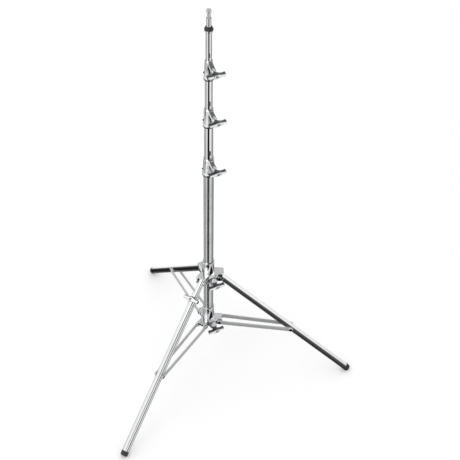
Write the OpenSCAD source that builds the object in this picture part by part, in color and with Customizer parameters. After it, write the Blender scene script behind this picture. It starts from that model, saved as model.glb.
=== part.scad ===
// Telescopic stand: three folding legs, one of them levelling, and a column of
// three risers with a stud on top. Origin on the column's axis at the floor.

/* [Column] */
// Outside diameter of the base tube
base_d = 35; // [34:0.5:36]
// Outside diameter of the lowest riser
riser_1_d = 30; // [29.5:0.5:30]
// Outside diameter of the middle riser
riser_2_d = 25; // [24.5:0.5:25]
// Outside diameter of the top riser
riser_3_d = 20; // [19.5:0.5:20]
// Wall of the base tube
base_wall = 2; // [1.5:0.1:2]
// Wall of each riser
riser_wall = 1.5; // [1.2:0.1:1.5]
// Height of the foot of the column
base_foot_z = 229; // [228:1:232]
// Height of the underside of the base tube's clamp
clamp_1_z = 963; // [963:1:980]
// Height of the underside of the lowest riser's clamp
clamp_2_z = 1166; // [1166:1:1190]
// Height of the underside of the middle riser's clamp
clamp_3_z = 1349; // [1349:1:1380]

/* [Stud] */
// Diameter of the stud
stud_d = 16; // [15.8:0.1:16.2]
// Diameter of the stud's neck
neck_d = 12; // [11:0.5:13]
// Height of the stud's top
stud_top_z = 1600; // [1598:1:1610]
// Height of the shoulder under the stud's rubber ring
shoulder_z = 1521; // [1519:1:1523]

/* [Legs] */
// Outside diameter of each leg tube
leg_d = 26; // [25:0.5:26]
// Wall of each leg tube
leg_wall = 1.75; // [1.5:0.05:1.75]
// Outside diameter of the levelling leg's inner tube
inner_leg_d = 21; // [20:0.5:21]
// Length of a leg from its hinge to its tube's end
leg_len = 685; // [684:1:686]
// Distance from a leg's hinge to its brace bolt
leg_to_brace = 371.5; // [371:0.5:372]
// Slope of the legs below the horizontal
leg_slope = 43.6; // [43.5:0.1:43.7]
// Distance of the leg hinges from the column's axis
leg_hinge_r = 41; // [41:0.5:42]
// Distance of the brace hinges from the column's axis
brace_hinge_r = 42; // [42:0.5:43]

/* [Collars] */
// Height of the leg hinges
leg_hinge_z = 484; // [483:0.5:485]
// Height of the brace hinges
brace_hinge_z = 249.5; // [249:0.5:250]
// Outside diameter of each collar's sleeve
collar_d = 43; // [42:0.5:44]
// Height of each collar
collar_h = 94; // [92:1:95]
// Height of a hinge above its collar's underside
hinge_up = 22; // [21:0.5:23]

/* [Handles] */
// Width of each T-handle
handle_w = 58; // [54:1:62]
// Bearing of the clamp and collar handles, midway between two legs
handle_turn = -60; // [-62:1:-58]
// Bearing of the top clamp's handle
top_handle_turn = -64; // [-66:1:-62]

/* [Hidden] */
$fn = 64;

slide_gap = 0.35; // between a riser or sliding collar and the part round it
run_gap = 0.05; // between a pin and its bore
over = 1; // how far a cutting shape runs past a face

right_turn = 0;
back_turn = 120;
front_turn = -120;

ring_bore = 15.6; // bore of the stud's ring and flange

// Riser clamps
clamp_h = 70;
seat_h = 44; // depth of the lower tube inside a clamp
clamp_axis_up = 53; // height of the screw in a clamp
skirt_wall = 4.8;
top_wall = 3;
arm_reach = 36; // from the lower tube to the arm's end
handle_reach = 58; // from the lower tube to the handle's face
screw_d = 8;
neck_screw_d = 5; // the thinner end of a screw inside its handle
boss_d = 18;
shoe_d = 11;
shoe_len = 5;
ring_h = 5;

// Risers: each stops on the guide below it
guide_head = 12;
guide_insert = 20;
riser_1_foot_z = 390;
riser_2_foot_z = 535;
riser_3_foot_z = 670;

// Ears, bolts and braces
ear_gap = 13.6; // half the gap between a pair of leg ears
ear_t = 4;
ear_r = 14;
low_ear_gap = 12;
low_ear_r = 12;
web_t = 3; // the web that joins a pair of ears over the top
high_web = 22.5; // the webs' height above the hinges
low_web = 15;
bolt_d = 8;
head_d = 14;
head_t = 3;
brace_t = 3;
brace_h = 18;
brace_wide = 16.3; // half the gap between the braces at the collar
brace_close = 13.3; // half the gap between the braces at the leg
rivet_gap = 0.3;

// Where the leg and brace bolts meet, and the braces that reach there
pivot_r = leg_hinge_r + leg_to_brace * cos(leg_slope);
pivot_z = leg_hinge_z - leg_to_brace * sin(leg_slope);
brace_len = norm([pivot_r - brace_hinge_r, pivot_z - brace_hinge_z]);
brace_slope = atan2(brace_hinge_z - pivot_z, pivot_r - brace_hinge_r);

// Levelling leg
lock_at = 73; // from the hinge to the lock's screw
lock_len = 40;
lock_face = 31; // from the leg's axis to the front of the lock's handle
inner_len = 300;

// Feet
foot_len = 22;
foot_end = 5;

// A tube or ring standing on the column's axis
module pipe(outer, inner, low, high) {
    translate([0, 0, low])
    difference() {
        cylinder(d = outer, h = high - low);
        translate([0, 0, -over]) cylinder(d = inner, h = high - low + 2 * over);
    }
}

// A rod along +X from x0 to x1
module rod(d, x0, x1) {
    translate([x0, 0, 0]) rotate([0, 90, 0]) cylinder(d = d, h = x1 - x0);
}

// A rod along Y, centred
module cross_rod(d, len) {
    rotate([90, 0, 0]) cylinder(d = d, h = len, center = true);
}

// The frame of a leg: X along the leg from its hinge, Y across it
module leg_frame(turn) {
    rotate([0, 0, turn]) translate([leg_hinge_r, 0, leg_hinge_z])
    rotate([0, leg_slope, 0]) children();
}

// The frame of a brace: X along the brace from its hinge, Y across it
module brace_frame(turn) {
    rotate([0, 0, turn]) translate([brace_hinge_r, 0, brace_hinge_z])
    rotate([0, brace_slope, 0]) children();
}

// The wedge that carries a clamp's screw: seen from the front it widens downwards
// from its tip, and seen from the side it slopes out to the end of the arm.
// tip and axis are heights, root the sleeve's radius and reach the arm's end.
module wedge(root, reach, tip, axis, low) {
    half = boss_d / 2;
    slope_r = root + 8;
    intersection() {
        rotate([90, 0, 90]) linear_extrude(reach)
            polygon([[-2.5, tip], [2.5, tip], [half + 2, axis + half - 1], [half, axis], [half - 2, low],
                [2 - half, low], [-half, axis], [-half - 2, axis + half - 1]]);
        rotate([90, 0, 0]) linear_extrude(2 * boss_d, center = true)
            polygon([[0, tip], [root - 0.5, tip], [slope_r, axis + half], [reach, axis + half - 1.5],
                [reach, axis - half + 2], [slope_r + 4, low + 2], [root - 1, low], [0, low]]);
    }
}

// Bores for a clamp's screw and shoe, along +X at height axis
module screw_bore(surface, reach, axis) {
    translate([0, 0, axis]) {
        rod(shoe_d + 0.1, 0, surface + shoe_len + 2);
        rod(screw_d + 2 * run_gap, 0, reach + over);
    }
}

// A riser clamp: low_d is the tube that it is fixed to, high_d the one it grips
module clamp_casting(low_d, high_d, z, turn) {
    skirt = low_d / 2 + skirt_wall;
    waist = low_d / 2 + skirt_wall - 2;
    rim = high_d / 2 + top_wall;
    reach = low_d / 2 + arm_reach;
    translate([0, 0, z]) rotate([0, 0, turn])
    difference() {
        union() {
            rotate_extrude()
                polygon([[0, ring_h], [skirt - 0.8, ring_h], [skirt, ring_h + 1], [skirt, ring_h + 4],
                    [waist, ring_h + 8], [waist - 0.5, seat_h - 6], [rim + 0.6, seat_h + 6],
                    [rim, clamp_h - 2], [rim - 1.2, clamp_h], [0, clamp_h]]);
            wedge(rim, reach, clamp_h - 3, clamp_axis_up, 12);
        }
        translate([0, 0, -over]) cylinder(d = low_d, h = seat_h + over);
        cylinder(d = high_d + 2 * slide_gap, h = clamp_h + over);
        screw_bore(high_d / 2, reach, clamp_axis_up);
        for (side = [-1, 1])
            rotate([0, 0, side * 62]) translate([0, -1.2, seat_h + 4])
                cube([skirt + over, 2.4, clamp_h]);
    }
}

// The dark ring under a riser clamp
module clamp_seal(low_d, z) {
    skirt = low_d / 2 + skirt_wall;
    translate([0, 0, z])
    difference() {
        rotate_extrude()
            polygon([[0, 0], [skirt - 1.6, 0], [skirt - 0.6, 1], [skirt - 0.6, ring_h], [0, ring_h]]);
        translate([0, 0, -over]) cylinder(d = low_d, h = ring_h + 2 * over);
    }
}

// A brake shoe that a screw presses on a tube of diameter grip_d
module shoe(grip_d, z, turn) {
    translate([0, 0, z]) rotate([0, 0, turn])
    difference() {
        rod(shoe_d, grip_d / 2 - 3, grip_d / 2 + shoe_len);
        translate([0, 0, -shoe_d]) cylinder(d = grip_d + 2 * slide_gap, h = 2 * shoe_d);
    }
}

// A T-handle on a screw along +X; face is the distance of its front from the axis,
// and hub the distance of its back
module t_handle(face, hub) {
    depth = 11;
    half = handle_w / 2;
    difference() {
        union() {
            rod(15, hub, face - 2);
            intersection() {
                translate([face - 15, 0, 0]) rotate([90, 0, 90]) linear_extrude(15)
                    polygon([[-half, -4], [-half, 4.5], [-half + 8, 5.2], [-9, 7], [-5, 8.6], [5, 8.6],
                        [9, 7], [half - 8, 5.2], [half, 4.5], [half, -4], [half - 5, -5], [9, -7.4],
                        [4, -9], [-4, -9], [-9, -7.4], [-half + 5, -5]]);
                translate([0, 0, -boss_d]) linear_extrude(2 * boss_d)
                    polygon([[face - 14.5, -half], [face - 2.5, -half], [face - 1.5, -half + 5],
                        [face - 1, -12], [face, -7], [face, 7], [face - 1, 12], [face - 1.5, half - 5],
                        [face - 2.5, half], [face - 14.5, half], [face - 13.5, half - 6],
                        [face - depth, 13], [face - depth - 2, 6], [face - depth - 2, -6],
                        [face - depth, -13], [face - 13.5, -half + 6]]);
            }
        }
        rod(screw_d, hub - over, face - 8);
        rod(neck_screw_d, hub, face);
        rod(8.4, face - 3, face + over);
    }
}

// A screw along +X from its tip to inside the handle, with the handle's cap screw
module lock_screw(tip, face) {
    rod(screw_d, tip, face - 8);
    difference() {
        union() {
            rod(neck_screw_d, face - 8, face - 3);
            rod(8.2, face - 3, face - 0.4);
        }
        rod(4, face - 1.8, face + over);
    }
}

// The sleeve, ears and wedge of a collar; bore_d is its bore
module collar_casting(hinge_z, bore_d, gap, round_r, hinge_r, web_top) {
    low = hinge_z - hinge_up;
    reach = base_d / 2 + arm_reach;
    rim = collar_d / 2;
    difference() {
        union() {
            translate([0, 0, low])
            rotate_extrude()
                polygon([[0, 0], [rim - 1, 0], [rim, 1.5], [rim, 40], [rim - 0.8, 46],
                    [rim - 0.8, collar_h - 8], [rim, collar_h - 6], [rim, collar_h - 1.5],
                    [rim - 1.2, collar_h], [0, collar_h]]);
            for (turn = [right_turn, back_turn, front_turn])
                rotate([0, 0, turn])
                translate([0, 0, hinge_z]) {
                    for (side = [-1, 1])
                        translate([0, side * (gap + ear_t / 2), 0])
                        rotate([90, 0, 0]) linear_extrude(ear_t, center = true) {
                            translate([hinge_r, 0]) circle(r = round_r);
                            translate([base_d / 2, -round_r])
                                square([hinge_r - base_d / 2, 2 * round_r]);
                            translate([base_d / 2, 0])
                                square([hinge_r + round_r - 2 - base_d / 2, web_top]);
                        }
                    translate([base_d / 2, -gap - 1, web_top - web_t])
                        cube([hinge_r + round_r - 2 - base_d / 2, 2 * gap + 2, web_t]);
                }
            rotate([0, 0, handle_turn])
                wedge(rim, reach, low + collar_h - 2, hinge_z, low + 3);
        }
        translate([0, 0, low - over]) cylinder(d = bore_d, h = collar_h + 2 * over);
        for (turn = [right_turn, back_turn, front_turn])
            rotate([0, 0, turn]) translate([hinge_r, 0, hinge_z])
                cross_rod(bolt_d + 2 * run_gap, 4 * ear_gap);
        rotate([0, 0, handle_turn]) screw_bore(base_d / 2, reach, hinge_z);
    }
}

// A bolt across Y with a low domed head at each end; span is what it holds
module bolt(span) {
    cross_rod(bolt_d, span + 2);
    for (side = [-1, 1])
        translate([0, side * span / 2, 0]) rotate([side * -90, 0, 0])
        rotate_extrude()
            polygon([[0, 0], [head_d / 2, 0], [head_d / 2, 1], [head_d / 2 - 1.2, 2.2],
                [head_d / 2 - 3, head_t], [0, head_t]]);
}

// A round leg tube with its hinge and brace bores; from and to along its axis
module leg_tube(outer, inner, from, to, bores) {
    difference() {
        rod(outer, from, to);
        rod(inner, from - over, to + over);
        for (at = bores)
            translate([at, 0, 0]) cross_rod(bolt_d + 2 * run_gap, 2 * outer);
    }
}

// The plug that closes a leg's top end and takes the hinge bolt
module leg_plug() {
    bore = leg_d - 2 * leg_wall;
    difference() {
        union() {
            rod(bore, -11, 16);
            rod(leg_d, -13.5, -11);
        }
        cross_rod(bolt_d + 2 * run_gap, 2 * leg_d);
    }
}

// A rubber plug in a leg's end, cut flat where it stands on the floor
module foot(turn) {
    difference() {
        leg_frame(turn) {
            rod(leg_d - 2 * leg_wall, leg_len - foot_len, leg_len);
            rod(leg_d, leg_len, leg_len + foot_end - 1);
            rod(leg_d - 2, leg_len, leg_len + foot_end);
        }
        translate([-leg_len, -leg_len, -20]) cube([2 * leg_len, 2 * leg_len, 20]);
    }
}

// The two flat bars either side of a leg, set closer together at the leg
module brace_pair() {
    end = brace_h / 2;
    bend = 34;
    for (side = [-1, 1])
        difference() {
            intersection() {
                rotate([90, 0, 0]) linear_extrude(4 * ear_gap, center = true) {
                    circle(d = brace_h);
                    translate([0, -end]) square([brace_len, brace_h]);
                    translate([brace_len, 0]) circle(d = brace_h);
                }
                translate([0, 0, -brace_h]) linear_extrude(2 * brace_h)
                    polygon([[-end - over, side * brace_wide], [bend, side * brace_wide],
                        [brace_len - bend, side * brace_close], [brace_len + end + over, side * brace_close],
                        [brace_len + end + over, side * (brace_close + brace_t)],
                        [brace_len - bend, side * (brace_close + brace_t)],
                        [bend, side * (brace_wide + brace_t)],
                        [-end - over, side * (brace_wide + brace_t)]]);
            }
            for (at = [0, brace_len])
                translate([at, 0, 0]) cross_rod(bolt_d + 2 * run_gap, 8 * ear_gap);
        }
}

// The plastic guide at the foot of a riser
module guide(outer_bore, riser_d, z) {
    bore = riser_d - 2 * riser_wall;
    difference() {
        union() {
            translate([0, 0, z - guide_head]) cylinder(d = outer_bore - 0.6, h = guide_head);
            translate([0, 0, z]) cylinder(d = bore, h = guide_insert);
        }
        translate([0, 0, z - guide_head - over])
            cylinder(d = bore - 6, h = guide_head + guide_insert + 2 * over);
    }
}

module base_tube() {
    color("silver") pipe(base_d, base_d - 2 * base_wall, base_foot_z, clamp_1_z + seat_h);
}

module base_plug() {
    bore = base_d - 2 * base_wall;
    color("dimgray") {
        translate([0, 0, base_foot_z]) cylinder(d = bore, h = 16);
        translate([0, 0, base_foot_z - 3]) cylinder(d = base_d, h = 3);
    }
}

module lower_collar() {
    color("silver") collar_casting(brace_hinge_z, base_d, low_ear_gap, low_ear_r, brace_hinge_r, low_web);
}

module lower_collar_shoe() {
    color("dimgray") shoe(base_d, brace_hinge_z, handle_turn);
}

module lower_collar_bolts() {
    color("dimgray")
    for (turn = [right_turn, back_turn, front_turn])
        brace_frame(turn) bolt(2 * (brace_wide + brace_t + rivet_gap));
}

module clamp_1() {
    color("silver") clamp_casting(base_d, riser_1_d, clamp_1_z, handle_turn);
}

module clamp_1_shoe() {
    color("dimgray") shoe(riser_1_d, clamp_1_z + clamp_axis_up, handle_turn);
}

module clamp_1_ring() {
    color("dimgray") clamp_seal(base_d, clamp_1_z);
}

module riser_1() {
    color("silver") pipe(riser_1_d, riser_1_d - 2 * riser_wall, riser_1_foot_z, clamp_2_z + seat_h);
}

module riser_1_guide() {
    color("dimgray") guide(base_d - 2 * base_wall, riser_1_d, riser_1_foot_z);
}

module clamp_2() {
    color("silver") clamp_casting(riser_1_d, riser_2_d, clamp_2_z, handle_turn);
}

module clamp_2_shoe() {
    color("dimgray") shoe(riser_2_d, clamp_2_z + clamp_axis_up, handle_turn);
}

module clamp_2_ring() {
    color("dimgray") clamp_seal(riser_1_d, clamp_2_z);
}

module riser_2() {
    color("silver") pipe(riser_2_d, riser_2_d - 2 * riser_wall, riser_2_foot_z, clamp_3_z + seat_h);
}

module riser_2_guide() {
    color("dimgray") guide(riser_1_d - 2 * riser_wall, riser_2_d, riser_2_foot_z);
}

module clamp_3() {
    color("silver") clamp_casting(riser_2_d, riser_3_d, clamp_3_z, top_handle_turn);
}

module clamp_3_shoe() {
    color("dimgray") shoe(riser_3_d, clamp_3_z + clamp_axis_up, top_handle_turn);
}

module clamp_3_ring() {
    color("dimgray") clamp_seal(riser_2_d, clamp_3_z);
}

module riser_3() {
    color("silver") pipe(riser_3_d, riser_3_d - 2 * riser_wall, riser_3_foot_z, shoulder_z);
}

module riser_3_guide() {
    color("dimgray") guide(riser_2_d - 2 * riser_wall, riser_3_d, riser_3_foot_z);
}

// The stud: a head, a neck, a shank, and a spigot inside the top riser
module stud() {
    top = stud_top_z - shoulder_z;
    r = stud_d / 2;
    color("silver") translate([0, 0, shoulder_z])
    rotate_extrude()
        polygon([[0, -30], [riser_3_d / 2 - riser_wall, -30], [riser_3_d / 2 - riser_wall, 0],
            [ring_bore / 2, 0], [ring_bore / 2, 20.5], [r, 20.5], [r, top - 28], [neck_d / 2, top - 27],
            [neck_d / 2, top - 11], [r - 0.6, top - 9.5], [r, top - 8.5], [r, top - 2],
            [r - 0.7, top - 0.7], [r - 2, top], [0, top]]);
}

module stud_ring() {
    color("black") translate([0, 0, shoulder_z + 8])
    difference() {
        rotate_extrude()
            polygon([[0, 0], [13.6, 0], [14.2, 0.8], [14.2, 3.5], [13, 6.5], [10.5, 11], [9.6, 12],
                [0, 12]]);
        translate([0, 0, -over]) cylinder(d = ring_bore, h = 14);
    }
}

module stud_flange() {
    color("silver") translate([0, 0, shoulder_z])
    difference() {
        rotate_extrude()
            polygon([[0, 0], [11, 0], [12.6, 1.5], [13.2, 3], [13.2, 7], [12.4, 8], [0, 8]]);
        translate([0, 0, -over]) cylinder(d = ring_bore, h = 10);
    }
}

module upper_collar() {
    color("silver")
        collar_casting(leg_hinge_z, base_d + 2 * slide_gap, ear_gap, ear_r, leg_hinge_r, high_web);
}

module upper_collar_shoe() {
    color("dimgray") shoe(base_d, leg_hinge_z, handle_turn);
}

module upper_collar_bolts() {
    color("dimgray")
    for (turn = [right_turn, back_turn, front_turn])
        leg_frame(turn) bolt(2 * (ear_gap + ear_t));
}

module plain_leg(turn) {
    leg_frame(turn) leg_tube(leg_d, leg_d - 2 * leg_wall, -11, leg_len, [0, leg_to_brace]);
}

// The middle of a brace bolt, which stays in the leg; its ends are the rivets
module pivot_pin(turn) {
    leg_frame(turn) translate([leg_to_brace, 0, 0]) cross_rod(bolt_d, leg_d);
}

// The two headed ends of a brace bolt, which stay in the braces
module brace_rivets(turn) {
    out = brace_close + brace_t;
    brace_frame(turn) translate([brace_len, 0, 0])
    for (side = [-1, 1])
        rotate([side * -90, 0, 0])
        rotate_extrude()
            polygon([[0, brace_close], [bolt_d / 2, brace_close], [bolt_d / 2, out], [head_d / 2, out],
                [head_d / 2, out + 1], [head_d / 2 - 1.2, out + 2.2], [head_d / 2 - 3, out + head_t],
                [0, out + head_t]]);
}

module right_leg() {
    color("silver") plain_leg(right_turn);
}

module right_leg_plug() {
    color("silver") leg_frame(right_turn) leg_plug();
}

module right_foot() {
    color("black") foot(right_turn);
}

module right_leg_pin() {
    color("dimgray") pivot_pin(right_turn);
}

module back_leg() {
    color("silver") plain_leg(back_turn);
}

module back_leg_plug() {
    color("silver") leg_frame(back_turn) leg_plug();
}

module back_foot() {
    color("black") foot(back_turn);
}

module back_leg_pin() {
    color("dimgray") pivot_pin(back_turn);
}

module front_inner_leg() {
    color("silver") leg_frame(front_turn)
        leg_tube(inner_leg_d, inner_leg_d - 2 * riser_wall, -11, inner_len, [0]);
}

// The ferrule round the inner tube's top end
module front_leg_ferrule() {
    color("silver") leg_frame(front_turn) leg_tube(inner_leg_d + 3, inner_leg_d, -12, 8, [0]);
}

module front_outer_leg() {
    color("silver") leg_frame(front_turn)
        leg_tube(leg_d, leg_d - 2 * leg_wall, lock_at + 8, leg_len, [leg_to_brace]);
}

module front_foot() {
    color("black") foot(front_turn);
}

module front_leg_pin() {
    color("dimgray") pivot_pin(front_turn);
}

// The screw of the levelling lock stands across the top of the leg
module lock_frame() {
    leg_frame(front_turn) translate([lock_at, 0, 0]) rotate([0, -90, 0]) children();
}

// The casting that locks the levelling leg: a sleeve round both tubes and a boss
module level_lock() {
    color("silver")
    difference() {
        union() {
            leg_frame(front_turn) {
                rod(leg_d + 6, lock_at - lock_len / 2 + 10, lock_at + lock_len / 2);
                rod(leg_d, lock_at - lock_len / 2 - 3, lock_at);
            }
            lock_frame() rod(boss_d, 0, leg_d / 2 + 5);
        }
        leg_frame(front_turn) {
            rod(inner_leg_d + 2 * slide_gap, 0, lock_at + lock_len);
            rod(leg_d, lock_at + 8, lock_at + lock_len);
        }
        lock_frame() {
            rod(shoe_d + 0.1, 0, leg_d / 2 + 1.5);
            rod(screw_d + 2 * run_gap, 0, leg_d / 2 + 6);
        }
    }
}

module level_shoe() {
    color("dimgray")
    difference() {
        lock_frame() rod(shoe_d, inner_leg_d / 2 - 3, leg_d / 2 + 0.5);
        leg_frame(front_turn) rod(inner_leg_d + 2 * slide_gap, 0, 2 * lock_at);
    }
}

module right_braces() {
    color("silver") brace_frame(right_turn) brace_pair();
}

module right_brace_rivets() {
    color("dimgray") brace_rivets(right_turn);
}

module back_braces() {
    color("silver") brace_frame(back_turn) brace_pair();
}

module back_brace_rivets() {
    color("dimgray") brace_rivets(back_turn);
}

module front_braces() {
    color("silver") brace_frame(front_turn) brace_pair();
}

module front_brace_rivets() {
    color("dimgray") brace_rivets(front_turn);
}

module clamp_handle(low_d, z, turn) {
    color("gainsboro") translate([0, 0, z]) rotate([0, 0, turn])
        t_handle(low_d / 2 + handle_reach, low_d / 2 + arm_reach + 1);
}

module clamp_screw(low_d, grip_d, z, turn) {
    color("dimgray") translate([0, 0, z]) rotate([0, 0, turn])
        lock_screw(grip_d / 2 + shoe_len + 0.5, low_d / 2 + handle_reach);
}

module clamp_1_handle() {
    clamp_handle(base_d, clamp_1_z + clamp_axis_up, handle_turn);
}

module clamp_1_screw() {
    clamp_screw(base_d, riser_1_d, clamp_1_z + clamp_axis_up, handle_turn);
}

module clamp_2_handle() {
    clamp_handle(riser_1_d, clamp_2_z + clamp_axis_up, handle_turn);
}

module clamp_2_screw() {
    clamp_screw(riser_1_d, riser_2_d, clamp_2_z + clamp_axis_up, handle_turn);
}

module clamp_3_handle() {
    clamp_handle(riser_2_d, clamp_3_z + clamp_axis_up, top_handle_turn);
}

module clamp_3_screw() {
    clamp_screw(riser_2_d, riser_3_d, clamp_3_z + clamp_axis_up, top_handle_turn);
}

module upper_collar_handle() {
    clamp_handle(base_d, leg_hinge_z, handle_turn);
}

module upper_collar_screw() {
    clamp_screw(base_d, base_d, leg_hinge_z, handle_turn);
}

module lower_collar_handle() {
    clamp_handle(base_d, brace_hinge_z, handle_turn);
}

module lower_collar_screw() {
    clamp_screw(base_d, base_d, brace_hinge_z, handle_turn);
}

module level_handle() {
    color("gainsboro") lock_frame() t_handle(lock_face, lock_face - 12);
}

module level_screw() {
    color("dimgray") lock_frame() lock_screw(leg_d / 2 + 1, lock_face);
}

base_tube();
base_plug();
lower_collar();
lower_collar_shoe();
lower_collar_bolts();
clamp_1();
clamp_1_shoe();
clamp_1_ring();
riser_1();
riser_1_guide();
clamp_2();
clamp_2_shoe();
clamp_2_ring();
riser_2();
riser_2_guide();
clamp_3();
clamp_3_shoe();
clamp_3_ring();
riser_3();
riser_3_guide();
stud();
stud_ring();
stud_flange();
upper_collar();
upper_collar_shoe();
upper_collar_bolts();
right_leg();
right_leg_plug();
right_foot();
right_leg_pin();
back_leg();
back_leg_plug();
back_foot();
back_leg_pin();
front_inner_leg();
front_leg_ferrule();
front_outer_leg();
front_foot();
front_leg_pin();
level_lock();
level_shoe();
right_braces();
right_brace_rivets();
back_braces();
back_brace_rivets();
front_braces();
front_brace_rivets();
clamp_1_handle();
clamp_1_screw();
clamp_2_handle();
clamp_2_screw();
clamp_3_handle();
clamp_3_screw();
upper_collar_handle();
upper_collar_screw();
lower_collar_handle();
lower_collar_screw();
level_handle();
level_screw();
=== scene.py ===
import math

import bpy
import numpy as np
from mathutils import Matrix


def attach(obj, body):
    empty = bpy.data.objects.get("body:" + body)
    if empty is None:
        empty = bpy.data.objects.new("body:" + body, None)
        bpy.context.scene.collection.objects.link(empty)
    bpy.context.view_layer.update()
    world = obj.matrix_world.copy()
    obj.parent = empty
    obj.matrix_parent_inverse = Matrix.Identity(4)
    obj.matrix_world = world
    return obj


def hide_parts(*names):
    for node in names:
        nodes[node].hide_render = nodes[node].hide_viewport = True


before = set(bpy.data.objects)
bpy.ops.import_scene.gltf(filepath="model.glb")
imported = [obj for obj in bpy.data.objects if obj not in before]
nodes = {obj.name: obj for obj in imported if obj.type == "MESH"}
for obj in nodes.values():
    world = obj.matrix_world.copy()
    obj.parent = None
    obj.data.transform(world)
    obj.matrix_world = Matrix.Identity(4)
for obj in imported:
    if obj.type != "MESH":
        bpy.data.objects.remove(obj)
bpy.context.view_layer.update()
print("frame loaded:", len(nodes), "CAD nodes")

# Camera: where it stands and how it is turned, in metres and degrees
cameraSet = {
    "place": (0.21787, -2.86144, 3.43057),
    "heading": -2.865,  # from +Y towards +X
    "pitch": 43.509,  # downwards
    "roll": 1.102,
    "lens": 89.045,
    "sensor": 36.0,
}


def makeCamera(say):
    # The view direction comes from heading and pitch, and the roll turns the picture about it.
    heading, pitch, roll = (math.radians(say[k]) for k in ("heading", "pitch", "roll"))
    forward = np.array([math.sin(heading) * math.cos(pitch), math.cos(heading) * math.cos(pitch), -math.sin(pitch)])
    level = np.array([math.cos(heading), -math.sin(heading), 0.0])
    lift = np.cross(level, forward)
    right = math.cos(roll) * level + math.sin(roll) * lift
    up = math.cos(roll) * lift - math.sin(roll) * level
    cam = bpy.data.cameras.new("camera")
    cam.lens, cam.sensor_width = say["lens"], say["sensor"]
    cam.clip_start, cam.clip_end = 0.05, 100
    obj = bpy.data.objects.new("camera", cam)
    matrix = np.eye(4)
    matrix[:3, :3] = np.stack([right, up, -forward], 1)
    matrix[:3, 3] = say["place"]
    obj.matrix_world = Matrix(matrix.tolist())
    bpy.context.scene.collection.objects.link(obj)
    bpy.context.scene.camera = obj


makeCamera(cameraSet)
print("camera placed")


# Shader writing: a wire is a socket that takes part in sums
class Wire:
    def __init__(self, tree, socket):
        self.tree, self.socket = tree, socket

    def sum(self, operation, first, second=0.0, third=0.0):
        made = self.tree.node("ShaderNodeMath", {"operation": operation}, {0: first, 1: second, 2: third})
        return Wire(self.tree, made.outputs[0])

    def __add__(self, other):
        return self.sum("ADD", self, other)

    def __radd__(self, other):
        return self.sum("ADD", other, self)

    def __sub__(self, other):
        return self.sum("SUBTRACT", self, other)

    def __rsub__(self, other):
        return self.sum("SUBTRACT", other, self)

    def __mul__(self, other):
        return self.sum("MULTIPLY", self, other)

    def __rmul__(self, other):
        return self.sum("MULTIPLY", other, self)

    def __truediv__(self, other):
        return self.sum("DIVIDE", self, other)

    def __abs__(self):
        return self.sum("ABSOLUTE", self)

    def step(self, start, end):
        # Rises smoothly from 0 at start to 1 at end; start may be the larger one.
        made = self.tree.node(
            "ShaderNodeMapRange",
            {"interpolation_type": "SMOOTHSTEP"},
            {"Value": self, "From Min": start, "From Max": end, "To Min": 0.0, "To Max": 1.0},
        )
        return Wire(self.tree, made.outputs["Result"])

    def bump(self, centre, flat, fall):
        # 1 within flat of centre, falling to 0 over the next fall.
        return abs(self - centre).step(flat + fall, flat)


class Tree:
    def __init__(self, owner):
        owner.use_nodes = True
        self.nodes, self.links = owner.node_tree.nodes, owner.node_tree.links
        self.nodes.clear()

    def node(self, kind, settings=None, inputs=None):
        made = self.nodes.new(kind)
        for name, value in (settings or {}).items():
            if name == "stops":
                ramp = made.color_ramp
                for place, colour in value[2:]:
                    ramp.elements.new(place)
                for element, (place, colour) in zip(ramp.elements, sorted(value)):
                    element.position, element.color = place, (*colour, 1.0)
            else:
                setattr(made, name, value)
        for name, value in (inputs or {}).items():
            if isinstance(value, Wire):
                self.links.new(value.socket, made.inputs[name])
            else:
                made.inputs[name].default_value = value
        return made

    def wire(self, kind, settings=None, inputs=None, out=0):
        return Wire(self, self.node(kind, settings, inputs).outputs[out])

    def blend(self, factor, first, second):
        # A colour between two colours.
        return self.wire("ShaderNodeMix", {"data_type": "RGBA"}, {0: factor, 6: first, 7: second}, out=2)


# Studio: white above, and below it the greys and dark flags that chrome shows
studioSet = {
    "white": 1.06,
    "front": 0.50,  # low down, on the camera's side
    "side": 0.98,  # low down, on the right and behind
    "stripe": 0.98,  # bright bands beside the dark middle line
    "dark": 0.012,
    "lift": 0.07,  # added to the dark flags above and below the band that upright tubes show
    "edge": 0.34,  # what the sides of upright tubes show
    "tubeBand": (-43, 8, 6),  # the elevation that upright tubes show: centre, flat and fall
    "underneath": 0.07,
    "ceiling": 0.16,  # high up, seen only in the upper faces of castings and handles
    "behind": 0.62,  # the ceiling straight behind the stand
    "backdrop": 1.10,
    "floorTone": 0.92,
    "floorSize": 60.0,
    "lampSize": 2.2,
    "lampPower": 16.0,
    "lampPlace": (-1.7, -2.2, 3.9),
    "lampAim": (0.0, 0.0, 0.8),
}


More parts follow.
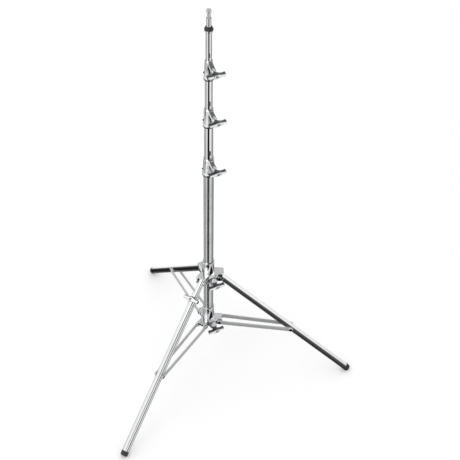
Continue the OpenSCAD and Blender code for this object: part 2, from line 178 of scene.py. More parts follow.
def makeStudio(say):
    world = bpy.data.worlds.new("studio")
    bpy.context.scene.world = world
    tree = Tree(world)
    direction = tree.wire("ShaderNodeTexCoord", out="Generated")
    parts = tree.node("ShaderNodeSeparateXYZ", inputs={0: direction})
    x, y, z = (Wire(tree, parts.outputs[i]) for i in range(3))
    rise = z.sum("ARCSINE", z) * (180 / math.pi)
    bearing = y.sum("ARCTAN2", y, x) * (180 / math.pi)
    tone = say["front"] + (say["side"] - say["front"]) * bearing.step(22, 42) * bearing.step(178, 160)
    brighter = say["stripe"] - say["front"]
    tone = tone + brighter * bearing.bump(-48, 22, 8) * rise.step(-18, -30)
    tone = tone + brighter * bearing.bump(-140, 14, 8) * rise.step(-30, -38) * rise.step(-60, -50)
    tone = tone + (say["stripe"] - tone) * rise.step(-41, -35) * bearing.step(0, -20)
    tone = tone + (say["white"] - tone) * rise.step(2, 13)
    flags = (
        (bearing - ((rise + 13) * 1.1 - 60)).bump(0, 21, 5) * rise.step(15, 5) * rise.step(-72, -62),
        bearing.bump(138, 11, 9) * rise.bump(-45, 17, 9),
        bearing.bump(82, 4, 4) * rise.bump(-32, 26, 8),
        bearing.bump(-151, 3, 5) * rise.bump(-40, 14, 10) * 0.45,
    )
    tubeBand = rise.bump(*say["tubeBand"])
    tone = tone + (say["edge"] - tone) * bearing.bump(48, 34, 22) * tubeBand
    tone = tone + (say["edge"] - tone) * bearing.step(-150, -166) * tubeBand
    shade = say["dark"] + say["lift"] * (1 - tubeBand)
    for flag in flags:
        tone = tone + (shade - tone) * flag
    tone = tone + (say["underneath"] - tone) * rise.step(-50, -60)
    ceiling = say["ceiling"] + (say["behind"] - say["ceiling"]) * bearing.bump(95, 22, 12)
    tone = tone + (ceiling - tone) * rise.step(22, 34) * (1 - bearing.bump(-150, 34, 14))
    seen = tree.node("ShaderNodeBackground", inputs={"Color": (1.0, 1.0, 1.0, 1.0), "Strength": say["backdrop"]})
    lit = tree.node("ShaderNodeBackground", inputs={"Color": (1.0, 1.0, 1.0, 1.0), "Strength": tone})
    isGlossy = tree.wire("ShaderNodeLightPath", out="Is Glossy Ray")
    seen, lit = Wire(tree, seen.outputs[0]), Wire(tree, lit.outputs[0])
    both = tree.node("ShaderNodeMixShader", inputs={0: isGlossy, 1: seen, 2: lit})
    tree.node("ShaderNodeOutputWorld", inputs={"Surface": Wire(tree, both.outputs[0])})

    half = say["floorSize"] / 2
    mesh = bpy.data.meshes.new("floor")
    mesh.from_pydata([(-half, -half, 0), (half, -half, 0), (half, half, 0), (-half, half, 0)], [], [(0, 1, 2, 3)])
    floor = bpy.data.objects.new("floor", mesh)
    bpy.context.scene.collection.objects.link(floor)
    floor.visible_glossy = False
    paper = bpy.data.materials.new("palePaper")
    tree = Tree(paper)
    tone = say["floorTone"]
    surface = tree.node("ShaderNodeBsdfPrincipled", inputs={
        "Base Color": (tone, tone, tone, 1.0), "Roughness": 0.9, "Specular IOR Level": 0.1,
    })
    tree.node("ShaderNodeOutputMaterial", inputs={0: Wire(tree, surface.outputs[0])})
    mesh.materials.append(paper)

    lamp = bpy.data.lights.new("softLamp", "AREA")
    lamp.shape, lamp.size, lamp.energy = "DISK", say["lampSize"], say["lampPower"]
    lampObject = bpy.data.objects.new("softLamp", lamp)
    place = np.array(say["lampPlace"])
    back = place - np.array(say["lampAim"])
    back = back / np.linalg.norm(back)
    side = np.cross([0.0, 0.0, 1.0], back)
    side = side / np.linalg.norm(side)
    matrix = np.eye(4)
    matrix[:3, :3] = np.stack([side, np.cross(back, side), back], 1)
    matrix[:3, 3] = place
    lampObject.matrix_world = Matrix(matrix.tolist())
    bpy.context.scene.collection.objects.link(lampObject)
    scene = bpy.context.scene
    scene.view_settings.view_transform = "Standard"
    scene.view_settings.look = "None"


makeStudio(studioSet)
print("studio lit")


# Finishes
finishSet = {
    "chromeTube": {
        "colour": (0.84, 0.845, 0.855), "rough": 0.035,
        "vary": 0.05, "scratch": 0.05, "stretch": (1, 1, 0.04), "grain": 220, "height": 0.00002,
    },
    "slideTube": {
        "colour": (0.66, 0.67, 0.68), "rough": 0.23,
        "vary": 0.10, "scratch": 0.10, "stretch": (1, 1, 0.05), "grain": 160, "height": 0.00005,
    },
    "legTube": {
        "colour": (0.84, 0.845, 0.855), "rough": 0.09,
        "vary": 0.05, "scratch": 0.06, "stretch": (1, 1, 1), "grain": 120, "height": 0.00002,
    },
    "castMetal": {
        "colour": (0.86, 0.865, 0.875), "rough": 0.10,
        "vary": 0.12, "scratch": 0.08, "stretch": (1, 1, 1), "grain": 260, "height": 0.0001,
    },
    "handleMetal": {
        "colour": (0.15, 0.152, 0.158), "rough": 0.22,
        "vary": 0.12, "scratch": 0.08, "stretch": (1, 1, 1), "grain": 260, "height": 0.0001,
    },
    "braceSteel": {
        "colour": (0.86, 0.865, 0.87), "rough": 0.55,
        "vary": 0.10, "scratch": 0.10, "stretch": (1, 1, 1), "grain": 300, "height": 0.00006,
    },
    "studSteel": {
        "colour": (0.78, 0.785, 0.80), "rough": 0.12,
        "vary": 0.06, "scratch": 0.06, "stretch": (0.15, 0.15, 6), "grain": 250, "height": 0.00003,
    },
    "darkSteel": {
        "colour": (0.022, 0.022, 0.024), "rough": 0.36,
        "vary": 0.15, "scratch": 0.3, "stretch": (1, 1, 1), "grain": 400, "height": 0.00008,
    },
}


def metal(name, say):
    # Plated metal: soft clouding of the gloss, fine hairlines, and a grain too shallow to see from afar.
    made = bpy.data.materials.new(name)
    tree = Tree(made)
    place = tree.wire("ShaderNodeTexCoord", out="Object")
    drawn = tree.wire("ShaderNodeMapping", inputs={"Vector": place, "Scale": say["stretch"]})
    cloud = tree.wire("ShaderNodeTexNoise", inputs={"Vector": place, "Scale": 18.0, "Detail": 4.0, "Roughness": 0.6})
    grain = tree.wire("ShaderNodeTexNoise", inputs={
        "Vector": drawn, "Scale": float(say["grain"]), "Detail": 3.0, "Roughness": 0.7,
    })
    spots = tree.wire("ShaderNodeTexNoise", inputs={"Vector": drawn, "Scale": say["grain"] * 2.3, "Detail": 2.0})
    hairline = spots.step(0.60, 0.70) * cloud.step(0.45, 0.62)
    rough = say["rough"] * (1 + (cloud - 0.5) * (4 * say["vary"])) + hairline * say["scratch"]
    colour = say["colour"]
    worn = tuple(c * (1 - 0.9 * say["vary"]) for c in colour)
    tint = tree.blend(cloud.step(0.35, 0.7), (*colour, 1.0), (*worn, 1.0))
    relief = tree.wire("ShaderNodeBump", inputs={"Strength": 1.0, "Distance": say["height"], "Height": grain})
    surface = tree.node("ShaderNodeBsdfPrincipled", inputs={
        "Base Color": tint, "Metallic": 1.0, "Roughness": rough, "Normal": relief,
    })
    tree.node("ShaderNodeOutputMaterial", inputs={0: Wire(tree, surface.outputs[0])})
    return made


polymerSet = {
    "blackRubber": {
        "colour": (0.018, 0.018, 0.019), "dust": (0.06, 0.06, 0.06), "rough": 0.55, "grain": 900, "height": 0.0002,
    },
    "blackPlastic": {
        "colour": (0.025, 0.025, 0.027), "dust": (0.05, 0.05, 0.05), "rough": 0.38, "grain": 1400, "height": 0.0001,
    },
}


def polymer(name, say):
    # Moulded black: a leathery grain, and a little dust where the cloud is thick.
    made = bpy.data.materials.new(name)
    tree = Tree(made)
    place = tree.wire("ShaderNodeTexCoord", out="Object")
    cloud = tree.wire("ShaderNodeTexNoise", inputs={"Vector": place, "Scale": 40.0, "Detail": 5.0})
    grain = tree.wire("ShaderNodeTexVoronoi", inputs={"Vector": place, "Scale": float(say["grain"])})
    tint = tree.blend(cloud.step(0.5, 0.8), (*say["colour"], 1.0), (*say["dust"], 1.0))
    relief = tree.wire("ShaderNodeBump", inputs={"Strength": 0.6, "Distance": say["height"], "Height": grain})
    rough = say["rough"] + (cloud - 0.5) * 0.3
    surface = tree.node("ShaderNodeBsdfPrincipled", inputs={"Base Color": tint, "Roughness": rough, "Normal": relief})
    tree.node("ShaderNodeOutputMaterial", inputs={0: Wire(tree, surface.outputs[0])})
    return made


finishes = {name: metal(name, say) for name, say in finishSet.items()}
finishes.update({name: polymer(name, say) for name, say in polymerSet.items()})
print("finishes made:", len(finishes))


# Surfaces worked out on grids, in millimetres in a local frame
def standAt(turn=0.0, radius=0.0, height=0.0, slope=0.0):
    # A local frame: its origin, and as columns its X (outwards, and down the slope), its Y (across) and its Z.
    t, s = math.radians(turn), math.radians(slope)
    out = np.array([math.cos(t), math.sin(t), 0.0])
    across = np.array([-math.sin(t), math.cos(t), 0.0])
    up = np.array([0.0, 0.0, 1.0])
    axes = np.stack([math.cos(s) * out - math.sin(s) * up, across, math.sin(s) * out + math.cos(s) * up], 1)
    return radius * out + height * up, axes


def moved(stand, along=0.0, order="XYZ"):
    # The same frame further along its X, with its axes taken in another order; a small letter reverses one.
    origin, axes = stand
    columns = [axes[:, "XYZ".index(letter.upper())] * (1 if letter.isupper() else -1) for letter in order]
    return origin + along * axes[:, 0], np.stack(columns, 1)


def skin(rows, stand, loop=False):
    # Points and faces of a closed surface over a grid. Each row closes on itself, and the last row
    # joins the first, or both ends close in a pole. Faces are turned so that the volume is positive.
    count, around = rows.shape[:2]
    index = np.arange(count * around).reshape(count, around)
    ahead = np.vstack([index, index[:1]]) if loop else index
    here, there = ahead[:-1], ahead[1:]
    quads = np.stack([here, np.roll(here, -1, 1), np.roll(there, -1, 1), there], -1).reshape(-1, 4)
    origin, axes = stand
    points = (rows.reshape(-1, 3) @ axes.T + origin) * 0.001
    corners = (points - points.mean(0))[quads]
    volume = np.sum(corners[:, 0] * (np.cross(corners[:, 1], corners[:, 2]) + np.cross(corners[:, 2], corners[:, 3])))
    faces = quads.tolist()
    if not loop:
        ends = points.reshape(count, around, 3)[[0, -1]].mean(1)
        points = np.vstack([points, ends])
        for ring, pole in ((index[0][::-1], count * around), (index[-1], count * around + 1)):
            faces += np.stack([ring, np.roll(ring, -1), np.full(around, pole)], -1).tolist()
    if volume < 0:
        faces = [face[::-1] for face in faces]
    return points, faces


def piece(name, shells, body, finish, stands=(), crease=33):
    # One object from closed shells, riding on its body. Edges sharper than the crease angle stay crisp.
    points, faces, start = [], [], 0
    for shellPoints, shellFaces in shells:
        points.append(shellPoints)
        faces += [[i + start for i in face] for face in shellFaces]
        start += len(shellPoints)
    mesh = bpy.data.meshes.new(name)
    mesh.from_pydata(np.vstack(points).tolist(), [], faces)
    mesh.polygons.foreach_set("use_smooth", [True] * len(faces))
    mesh.set_sharp_from_angle(angle=math.radians(crease))
    mesh.materials.append(finishes[finish])
    made = bpy.data.objects.new(name, mesh)
    bpy.context.scene.collection.objects.link(made)
    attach(made, body)
    if stands:
        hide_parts(*stands)


def curve(at, table):
    # Reads a list of (place, value) pairs at every place in the array.
    places, values = np.array(sorted(table)).T
    return np.interp(at, places, values)


def lathe(profile, stand, axis=0, around=48, loop=False):
    # A profile of (along, radius, hex share) carried round an axis. The share pulls a ring into a hexagon.
    along, radius, hexShare = np.array([(*row, 0.0)[:3] for row in profile]).T
    angle = np.linspace(0, 2 * np.pi, around, endpoint=False)
    hexagon = math.cos(np.pi / 6) / np.cos(angle % (np.pi / 3) - np.pi / 6)
    ring = radius[:, None] * (1 + hexShare[:, None] * (hexagon - 1))
    rows = np.stack([np.repeat(along[:, None], around, 1), ring * np.cos(angle), ring * np.sin(angle)], -1)
    return skin(np.roll(rows, axis, -1), stand, loop)


def plate(outline, low, high, edge, stand):
    # A flat outline in X and Z with thickness along Y. Its rims are drawn in towards its middle by a quarter circle.
    outline = np.array(outline, float)
    spokes = outline - outline.mean(0)
    spokes = spokes / np.linalg.norm(spokes, axis=1)[:, None]
    bend = np.linspace(0, np.pi / 2, 4)
    inset = np.concatenate([edge * (1 - np.sin(bend)), edge * (1 - np.sin(bend[::-1]))])
    level = np.concatenate([low + edge * (1 - np.cos(bend)), high - edge * (1 - np.cos(bend[::-1]))])
    flat = outline[None] - inset[:, None, None] * spokes[None]
    rows = np.stack([flat[..., 0], np.repeat(level[:, None], len(outline), 1), flat[..., 1]], -1)
    return skin(rows, stand)


def casting(say, stand):
    # A sleeve with a nose on its X side. At each height and bearing, the nose's radius comes from a
    # rounded box of that reach and half width, and the surface from the soft maximum of nose and sleeve.
    # Between the nose's ribs a pocket goes back to the sleeve, and narrow slots split the rim.
    low, high = say["sleeve"][0][0], say["sleeve"][-1][0]
    knots = [place for key in ("sleeve", "noseWide", "noseReach", "bore") for place, value in say[key]]
    beside = [np.array(knots) + shift for shift in (-0.5, 0.0, 0.5)]
    height = np.concatenate([np.linspace(low, high, say["rows"]), *beside])
    height = np.unique(np.round(np.clip(height, low, high), 2))
    fine = np.linspace(-42, 42, 71)
    rim = [slot + step for slot in say["slots"] for step in (-5, -4, -3.4, 3.4, 4, 5)]
    bearing = np.radians(np.unique(np.concatenate([np.linspace(-180, 174, 60), fine, rim])))
    h, b = np.meshgrid(height, bearing, indexing="ij")
    sleeve, wide, reach = (curve(h, say[key]) for key in ("sleeve", "noseWide", "noseReach"))
    front = np.maximum(np.cos(b), 1e-3)
    crisp, blend = 14, 12  # how square the nose's box is, and how tightly it meets the sleeve
    nose = ((front / reach) ** crisp + (np.abs(np.sin(b)) / wide) ** crisp) ** (-1 / crisp) * (np.cos(b) > 0.01)
    radius = (sleeve**blend + nose**blend) ** (1 / blend)
    if "pocket" in say:
        start, end, rib = say["pocket"]
        room = wide - rib - np.abs(radius * np.sin(b))
        within = np.clip((h - start) / 1.2, 0, 1) * np.clip((end - h) / 1.2, 0, 1)
        pocket = np.clip(room / 0.8, 0, 1) * (np.cos(b) > 0) * within
        radius = radius + (sleeve + 0.2 - radius) * pocket
    bore = curve(h, say["bore"])
    for slot in say["slots"]:
        cut = (np.abs(np.degrees(b) - slot) < 3.7) * (h > say["slotFoot"])
        radius = np.where(cut, bore + 0.5, radius)
    radius, h, b = np.vstack([radius, bore[::-1]]), np.vstack([h, h[::-1]]), np.vstack([b, b])
    return skin(np.stack([radius * np.cos(b), radius * np.sin(b), h], -1), stand, loop=True)


def pocketShade(say, stand):
    # Painted shade in a pocket: a thin dark curved sheet just over the sleeve, as wide as the gap between the ribs,
    # standing for the shadow on the pocket's floor.
    start, end, rib = say["pocket"]
    height = np.linspace(start + 0.6, end - 0.6, 30)
    half = np.maximum(curve(height, say["noseWide"]) - rib + 0.4, 0.3)[:, None]
    across = half * np.linspace(-1, 1, 13)
    radius = curve(height, say["sleeve"])[:, None] + 0.2
    rows = []
    for lift, order in ((0.5, 1), (-0.8, -1)):
        r = radius + lift
        rows.append(np.stack([np.sqrt(r**2 - across**2), across, np.repeat(height[:, None], 13, 1)], -1)[:, ::order])
    return skin(np.concatenate(rows, 1), stand)


def capScrew(out, radius, tall, stand, axis=0, socket=0.5):
    # A socket-head cap screw standing on the surface at out along its axis; a negative tall faces backwards.
    s = 1 if tall > 0 else -1
    hexR = radius * socket
    foot, top, deep = out - 0.5 * s, out + tall, out + tall * 0.35
    return lathe([
        (foot, 0.2), (foot, radius), (top - 0.5 * s, radius), (top - 0.15 * s, radius - 0.25), (top, radius - 0.7),
        (top, hexR + 0.3, 1), (top - 0.2 * s, hexR, 1), (deep, hexR, 1), (deep, 0.1, 1),
    ], stand, axis)


def disc(out, radius, tall, stand, axis=0):
    # A plain round disc with a softened rim, standing like a cap screw.
    s = 1 if tall > 0 else -1
    foot, top = out - 0.3 * s, out + tall
    return lathe([(foot, 0.2), (foot, radius), (top - 0.3 * s, radius), (top, radius - 0.35), (top, 0.2)], stand, axis)


# Riser clamps
clampSet = {
    "tall": 70.0, "seat": 44.0, "axis": 53.0, "skirtWall": 4.8, "topWall": 3.0, "reach": 36.0, "noseHalf": 9.0,
    "slideGap": 0.35, "sideScrews": (-104.0, 104.0), "screwHeight": 26.0, "screwRadius": 2.7, "screwTall": 2.6,
    "barrel": 7.2, "slotTurn": 62.0,
}
clamps = {
    "clamp_1": {"body": "column", "low": 35.0, "high": 30.0, "z": 963.0, "turn": -60.0},
    "clamp_2": {"body": "lower_riser", "low": 30.0, "high": 25.0, "z": 1166.0, "turn": -60.0},
    "clamp_3": {"body": "middle_riser", "low": 25.0, "high": 20.0, "z": 1349.0, "turn": -64.0},
}


def clampShape(say, one):
    skirt = one["low"] / 2 + say["skirtWall"]
    waist, rim = skirt - 2, one["high"] / 2 + say["topWall"]
    reach, half, axis, tall = one["low"] / 2 + say["reach"], say["noseHalf"], say["axis"], say["tall"]
    tip = tall - 3
    lower, upper = one["low"] / 2 + 0.02, one["high"] / 2 + say["slideGap"]
    return {
        "rows": 46,
        "sleeve": [(5, skirt - 0.8), (6, skirt), (9, skirt), (13, waist), (36, waist - 1.6), (50, rim + 0.6),
                   (tall - 5, rim), (tall - 4, rim + 0.8), (tall - 1.2, rim + 0.8), (tall, rim - 0.4)],
        "noseWide": [(5, 1), (12, half - 2), (axis - 6, half), (axis + 3, half), (tip, half - 1), (tall, half - 2)],
        "noseReach": [(5, 2), (11, rim - 1), (14, rim + 10), (axis - half + 2, reach - 7), (axis + 2, reach - 7),
                      (axis + 4, reach - 10), (tip, rim + 3), (tall - 0.5, rim + 0.5), (tall, 2)],
        "bore": [(5, lower), (say["seat"], lower), (say["seat"] + 1, upper), (tall, upper)],
        "slots": (-say["slotTurn"], say["slotTurn"]), "slotFoot": say["seat"] + 6,
    }


# T-handles: each turns on its own screw
handleSet = {
    "half": 31.0,
    "height": [(0, 9.6), (5, 9.2), (9, 7.8), (14, 6.2), (22, 5.3), (29, 5.8), (31, 5.4)],
    "front": [(0, -1.4), (6, -1.5), (11, -2.4), (20, -2.9), (28, -2.6), (31, -3.2)],
    "back": [(0, -15.8), (6, -15.4), (13, -14.0), (21, -14.4), (28, -16.2), (31, -15.8)],
    "hub": 7.5, "cap": 4.1, "capTall": 1.9, "square": 6.0, "roundEnd": 3.0,
    "out": 58.0, "hubOut": 37.0,  # of the front face and the hub's back, from a column tube's surface
}


def teeHandle(say, face, hub, stand):
    # Sections across the handle are superellipses in depth and height; the last few shrink to round the ends.
    half = say["half"]
    y = half * np.sin(np.linspace(-np.pi / 2, np.pi / 2, 61))
    size, end = np.abs(y), say["roundEnd"]
    shrink = np.sqrt(np.clip(1 - (np.maximum(size - half + end, 0) / end) ** 2, 0.0004, 1))[:, None]
    front, back, tall = (curve(size, say[key])[:, None] for key in ("front", "back", "height"))
    angle = np.linspace(0, 2 * np.pi, 40, endpoint=False)
    x, z = (np.sign(wave) * np.abs(wave) ** (2 / say["square"]) for wave in (np.cos(angle), np.sin(angle)))
    across = np.repeat(y[:, None], 40, 1)
    depth = face + (front + back) / 2 + shrink * (front - back) / 2 * x
    rows = np.stack([depth, across, shrink * tall * z], -1)
    # The polished front is a thin skin of the same kind, a little smaller, standing just proud of the body.
    thinDepth = face + front + shrink * (0.9 * x - 0.55)
    thin = np.stack([thinDepth, across * 0.97, shrink * (tall * 0.88 - 0.6) * z], -1)
    r, cap = say["hub"], say["cap"]
    barrel = lathe([
        (hub, 0.3), (hub, r - 0.6), (hub + 0.5, r), (face - 8, r), (face - 6, r + 0.6), (face - 5, 0.3),
    ], stand)
    dish = lathe([
        (face - 4, 0.3), (face - 4, cap + 2.2), (face - 1.2, cap + 2.2), (face - 0.7, cap + 1.7),
        (face - 0.7, cap + 0.5), (face - 2.4, cap + 0.4), (face - 2.4, 0.3),
    ], stand)
    return [skin(rows, stand), barrel], [skin(thin, stand), dish], [capScrew(face - 2.2, cap, say["capTall"], stand)]


def addHandle(name, knob, node, face, hub, stand):
    # The dark body replaces the CAD handle; the bright front and the cap screw turn with it.
    body, bright, dark = teeHandle(handleSet, face, hub, stand)
    piece(name + "-tee", body, knob, "handleMetal", [node])
    piece(name + "-tee-face", bright, knob, "castMetal")
    piece(name + "-cap", dark, knob, "darkSteel")


# Collars: sleeve, nose and three pairs of ears
collarSet = {
    "tall": 94.0, "hingeUp": 22.0, "rim": 21.5, "reach": 53.5, "noseHalf": 9.0, "earThick": 4.0, "earFoot": 19.0,
    "head": 7.2, "headTall": 3.0, "socket": 3.6, "socketTall": 0.6, "shank": 4.0, "turn": -60.0, "tube": 35.0,
}
collars = {
    "upper_collar": {
        "body": "leg_collar", "z": 484.0, "bore": 17.85, "gap": 13.6, "round": 14.0,
        "hinge": 41.0, "web": 22.5, "span": 17.6,
    },
    "lower_collar": {
        "body": "column", "z": 249.5, "bore": 17.5, "gap": 12.0, "round": 12.0,
        "hinge": 42.0, "web": 15.0, "span": 19.6,
    },
}
legTurns = {"right": 0.0, "back": 120.0, "front": -120.0}


def collarShape(say, one):
    tall, rim, up, half = say["tall"], say["rim"], say["hingeUp"], say["noseHalf"]
    return {
        "rows": 60,
        "sleeve": [(0, rim - 1), (1.5, rim), (40, rim), (46, rim - 0.8), (tall - 8, rim - 0.8), (tall - 7, rim),
                   (tall - 1.5, rim), (tall, rim - 1.2)],
        "noseWide": [(0, 3), (3, half - 2), (up, half), (up + 8, half + 3), (up + 20, half + 4), (tall - 2, 2.4),
                     (tall, 0.5)],
        "noseReach": [(0, 6), (3, rim - 1), (5, rim + 12), (up - 7, say["reach"]), (up + 7.5, say["reach"]),
                      (up + 9, rim + 8), (tall - 2, rim - 0.5), (tall, 2)],
        "bore": [(0, one["bore"]), (tall, one["bore"])],
        "pocket": (up + 19, tall - 5, 2.6),
        "slots": (), "slotFoot": tall,
    }


def earShells(say, one, turn):
    # Two upright ears and the web that joins them over the top.
    stand = standAt(turn, 0, one["z"])
    r, hinge, top, foot = one["round"], one["hinge"], one["web"], say["earFoot"]
    edge = hinge + r - 2
    arc = np.linspace(-np.pi / 2, math.acos((r - 2) / r), 22)
    corner = np.linspace(0, np.pi / 2, 8)
    outline = [(hinge + r * math.cos(a), r * math.sin(a)) for a in arc]
    outline += [(edge - 4 + 4 * math.cos(a), top - 4 + 4 * math.sin(a)) for a in corner]
    outline += [(foot, top), (foot, 0), (foot, -r)]
    gap, thick = one["gap"], say["earThick"]
    shells = [plate(outline, low, low + thick, 0.7, stand) for low in (gap, -gap - thick)]
    bridge = [(foot, top - 3), (edge - 3, top - 3), (edge - 1.5, top - 2), (edge - 2, top - 0.3), (edge - 4, top),
              (foot, top)]
    return shells + [plate(bridge, -gap - 1.2, gap + 1.2, 0.3, stand)]


# Legs, braces and the bolts that join them
legSet = {
    "hinge": 41.0, "hingeZ": 484.0, "slope": 43.6,
    "brace": 371.5,  # from the hinge to the bolt of the braces
    "cuff": (671.5, 684.8), "cuffRadius": 13.4,
    "lockAt": 73.0, "lockFace": 31.0, "lockHub": 19.0, "bossRadius": 9,
}
braceSet = {
    "hinge": 42.0, "hingeZ": 249.5, "thick": 3.0, "tall": 18.0,
    "wide": 16.3, "close": 13.3,  # inner faces from the middle, at the collar and at the leg
    "bend": 34.0, "round": 0.8,
}
pivotR = legSet["hinge"] + legSet["brace"] * math.cos(math.radians(legSet["slope"]))
pivotZ = legSet["hingeZ"] - legSet["brace"] * math.sin(math.radians(legSet["slope"]))
braceLength = math.hypot(pivotR - braceSet["hinge"], pivotZ - braceSet["hingeZ"])
braceSlope = math.degrees(math.atan2(braceSet["hingeZ"] - pivotZ, pivotR - braceSet["hinge"]))


def braceBar(say, side, stand):
    # A rounded rectangle carried along the bar; its height follows a circle round each end, so the ends are round.
    r, inner = say["tall"] / 2, say["bend"]
    ends = r * (1 - np.cos(np.linspace(0, np.pi / 2, 14)))
    x = np.concatenate([ends - r, np.linspace(4, braceLength - 4, 24), braceLength + (r - ends)[::-1]])
    past = np.maximum(np.maximum(-x, x - braceLength), 0)
    tall = np.sqrt(np.maximum(r**2 - past**2, 0.0025))
    middle = side * (np.interp(x, [inner, braceLength - inner], [say["wide"], say["close"]]) + say["thick"] / 2)
    angle = np.concatenate([np.linspace(k * np.pi / 2, (k + 1) * np.pi / 2, 5) for k in range(4)])
    turned = np.repeat([0, 1, 2, 3], 5)
    c = np.minimum(say["round"], tall)[:, None]
    signY, signZ = np.array([1, -1, -1, 1])[turned], np.array([1, 1, -1, -1])[turned]
    y = signY * (say["thick"] / 2 - c) + c * np.cos(angle)
    z = signZ * (tall[:, None] - c) + c * np.sin(angle)
    return skin(np.stack([np.repeat(x[:, None], 20, 1), middle[:, None] + y, z], -1), stand)


def crossBolt(say, span, stand):
    # Bright round heads with dark sockets at both ends of a bolt along Y.
    rise = say["socketTall"]
    head = say["headTall"] - rise
    bright = [disc(side * span / 2, say["head"], side * head, stand, 1) for side in (1, -1)]
    dark = [capScrew(side * (span / 2 + head), say["socket"], side * rise, stand, 1, 0.7) for side in (1, -1)]
    return bright, dark


def buildClamp(name, one, say):
    stand = standAt(one["turn"], 0, one["z"])
    axisStand = standAt(one["turn"], 0, one["z"] + say["axis"])
    reach, r = one["low"] / 2 + say["reach"], say["barrel"]
    barrel = lathe([(reach - 20, 0.3), (reach - 20, r), (reach - 0.6, r), (reach, r - 0.6), (reach, 0.3)], axisStand)
    shells = [casting(clampShape(say, one), stand), barrel]
    piece(name + "-casting", shells, one["body"], "castMetal", [name])
    # Painted shade: a thin dark hoop inside the wall, seen only through the rim's slots, stands for the shadow in
    # them.
    hoop, low, high = one["high"] / 2 + say["slideGap"], say["seat"] + 8, say["tall"] - 0.8
    paintedShade = [(low, hoop + 0.7), (high, hoop + 0.7), (high, hoop + 0.2), (low, hoop + 0.2)]
    piece(name + "-slot-lining", [lathe(paintedShade, stand, 2, loop=True)], one["body"], "darkSteel")
    skirt = one["low"] / 2 + say["skirtWall"]
    screws = []
    for turn in say["sideScrews"]:
        screwStand = standAt(one["turn"] + turn, 0, one["z"] + say["screwHeight"])
        screws.append(capScrew(skirt - 2.4, say["screwRadius"], say["screwTall"], screwStand))
    piece(name + "-side-screws", screws, one["body"], "darkSteel")
    face, hub = one["low"] / 2 + handleSet["out"], one["low"] / 2 + handleSet["hubOut"]
    addHandle(name, name + "_knob", name + "_handle", face, hub, axisStand)


def buildCollar(name, one, say):
    shape = collarShape(say, one)
    stand = standAt(say["turn"], 0, one["z"] - say["hingeUp"])
    shells = [casting(shape, stand)]
    for turn in legTurns.values():
        shells += earShells(say, one, turn)
    piece(name + "-casting", shells, one["body"], "castMetal", [name])
    # Painted shade: a dark sheet over the pocket's floor stands for the shadow in it.
    piece(name + "-pocket", [pocketShade(shape, stand)], one["body"], "darkSteel")
    face, hub = say["tube"] / 2 + handleSet["out"], say["tube"] / 2 + handleSet["hubOut"]
    addHandle(name, name + "_knob", name + "_handle", face, hub, standAt(say["turn"], 0, one["z"]))
    heads, sockets = [], []
    span, r = one["span"], say["shank"]
    for turn in legTurns.values():
        boltStand = standAt(turn, one["hinge"], one["z"])
        bright, dark = crossBolt(say, 2 * span, boltStand)
        shank = lathe([(-span, 0.3), (-span, r), (span, r), (span, 0.3)], boltStand, 1, 24)
        heads, sockets = heads + bright, sockets + dark + [shank]
    piece(name + "-washers", heads, one["body"], "castMetal")
    piece(name + "-heads", sockets, one["body"], "darkSteel", [name + "_bolts"])


def buildBraces(name, turn, say):
    stand, body = standAt(turn, say["hinge"], say["hingeZ"], braceSlope), name + "_brace"
    bars = [braceBar(say, side, stand) for side in (1, -1)]
    piece(name + "-brace-bars", bars, body, "braceSteel", [name + "_braces"])
    bright, dark = crossBolt(collarSet, 2 * (say["close"] + say["thick"]), moved(stand, braceLength))
    piece(name + "-brace-washers", bright, body, "castMetal", [name + "_brace_rivets"])
    piece(name + "-brace-heads", dark, body, "darkSteel")


def buildCuff(name, turn, say):
    (low, high), r = say["cuff"], say["cuffRadius"]
    profile = [(low, r - 0.5), (low, r - 0.2), (low + 0.5, r), (high - 0.3, r), (high, r - 0.2), (high, r - 0.5)]
    stand = standAt(turn, say["hinge"], say["hingeZ"], say["slope"])
    piece(name + "-foot-cuff", [lathe(profile, stand, loop=True)], name + "_leg_arm", "blackRubber")


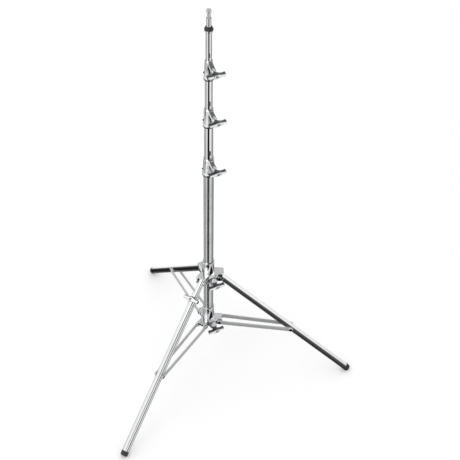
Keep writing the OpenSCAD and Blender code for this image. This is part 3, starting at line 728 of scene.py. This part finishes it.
def buildLock(say):
    # A sleeve round the levelling leg, with a round boss for the screw: its half width follows a circle.
    leg, r = standAt(legTurns["front"], say["hinge"], say["hingeZ"], say["slope"]), say["bossRadius"]
    boss = [(a, max(1.0, math.sqrt(max(r * r - a * a, 0)))) for a in np.linspace(-r, r, 2 * r + 1)]
    shape = {
        "rows": 40,
        "sleeve": [(-23, 13.4), (-22.5, 13.9), (-12, 14), (-11, 15.6), (-10, 16), (19, 16), (20, 15.2)],
        "noseWide": [(-23, 1.0), *boss, (20, 1.0)],
        "noseReach": [(-23, 2), (-9.4, 2), (-9, 18), (9, 18), (9.4, 2), (20, 2)],
        "bore": [(-23, 10.9), (7.5, 10.9), (8, 13.02), (20, 13.02)],
        "slots": (), "slotFoot": 99.0,
    }
    lock = casting(shape, moved(leg, say["lockAt"], "ZyX"))
    piece("level-lock-casting", [lock], "front_leg_arm", "castMetal", ["level_lock"])
    stand = moved(leg, say["lockAt"], "ZYx")
    addHandle("level", "level_knob", "level_handle", say["lockFace"], say["lockHub"], stand)


for name, one in clamps.items():
    buildClamp(name, one, clampSet)
print("clamps built:", len(clamps))
for name, one in collars.items():
    buildCollar(name, one, collarSet)
print("collars built:", len(collars))
for name, turn in legTurns.items():
    buildBraces(name, turn, braceSet)
print("braces built")
for name, turn in legTurns.items():
    buildCuff(name, turn, legSet)
buildLock(legSet)
print("foot cuffs and levelling lock built")

# The CAD nodes that stay, and the finish that each takes.
keptNodes = {
    "slideTube": ("base_tube",),
    "chromeTube": ("riser_1", "riser_2", "riser_3"),
    "legTube": ("right_leg", "back_leg", "front_inner_leg", "front_outer_leg", "front_leg_ferrule"),
    "studSteel": ("stud", "stud_flange"),
    "castMetal": ("right_leg_plug", "back_leg_plug"),
    "darkSteel": (
        "clamp_1_shoe", "clamp_2_shoe", "clamp_3_shoe", "upper_collar_shoe", "lower_collar_shoe", "level_shoe",
        "clamp_1_screw", "clamp_2_screw", "clamp_3_screw", "upper_collar_screw", "lower_collar_screw", "level_screw",
        "right_leg_pin", "back_leg_pin", "front_leg_pin",
    ),
    "blackRubber": (
        "stud_ring", "right_foot", "back_foot", "front_foot", "clamp_1_ring", "clamp_2_ring", "clamp_3_ring",
    ),
    "blackPlastic": ("base_plug", "riser_1_guide", "riser_2_guide", "riser_3_guide"),
}
for finish, names in keptNodes.items():
    for name in names:
        nodes[name].data.materials.clear()
        nodes[name].data.materials.append(finishes[finish])
print("CAD nodes finished:", sum(len(names) for names in keptNodes.values()))
